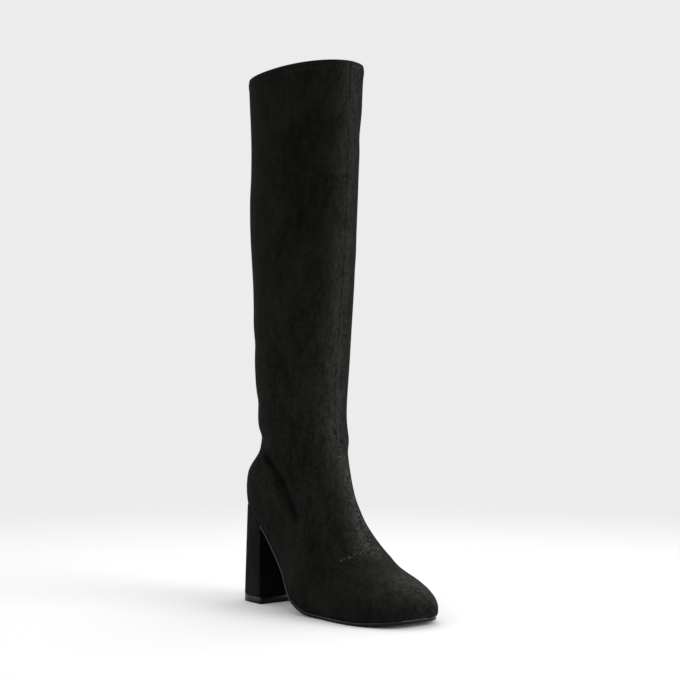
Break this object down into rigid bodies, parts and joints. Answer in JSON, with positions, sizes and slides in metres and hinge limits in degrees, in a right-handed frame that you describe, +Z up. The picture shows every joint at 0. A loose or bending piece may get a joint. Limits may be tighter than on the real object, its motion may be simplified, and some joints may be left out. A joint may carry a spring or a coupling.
{
  "type": "knee-high boot",
  "caption": "Knee-high faux-suede boot for the right foot, with a close shaft, a round toe, a block heel and a short zip on the inner side.",
  "frame": {"origin": "middle of the heel's tread, on the floor", "axes": "+X from the heel to the toe, +Y to the inner side of the foot (the wearer's left), +Z up the shaft"},
  "size_m": [0.2299, 0.0916, 0.481],
  "materials": {
    "black_suede": "black faux suede with a short soft nap",
    "insole_lining": "dark textile over a fibre board",
    "sole_edge": "semi-gloss black, moulded",
    "zip_tape": "woven black tape and nylon coil",
    "bright_nickel": "bright nickel plate"
  },
  "bodies": {
    "boot": {"upper": "black_suede", "insole": "insole_lining", "outsole": "sole_edge", "heel_block": "black_suede", "top_piece": "sole_edge", "zip_tape": "zip_tape", "zip_chain": "zip_tape", "zip_slider": "bright_nickel"},
    "pull_tab": {"zip_pull": "bright_nickel"}
  },
  "joints": [
    {"name": "zip_pull_swing", "type": "hinge", "parent": "boot", "child": "pull_tab", "pos_m": [0.03286, 0.03776, 0.22826], "axis": [0.9816, 0.1668, 0.0929], "range_deg": [0, 165]}
  ]
}
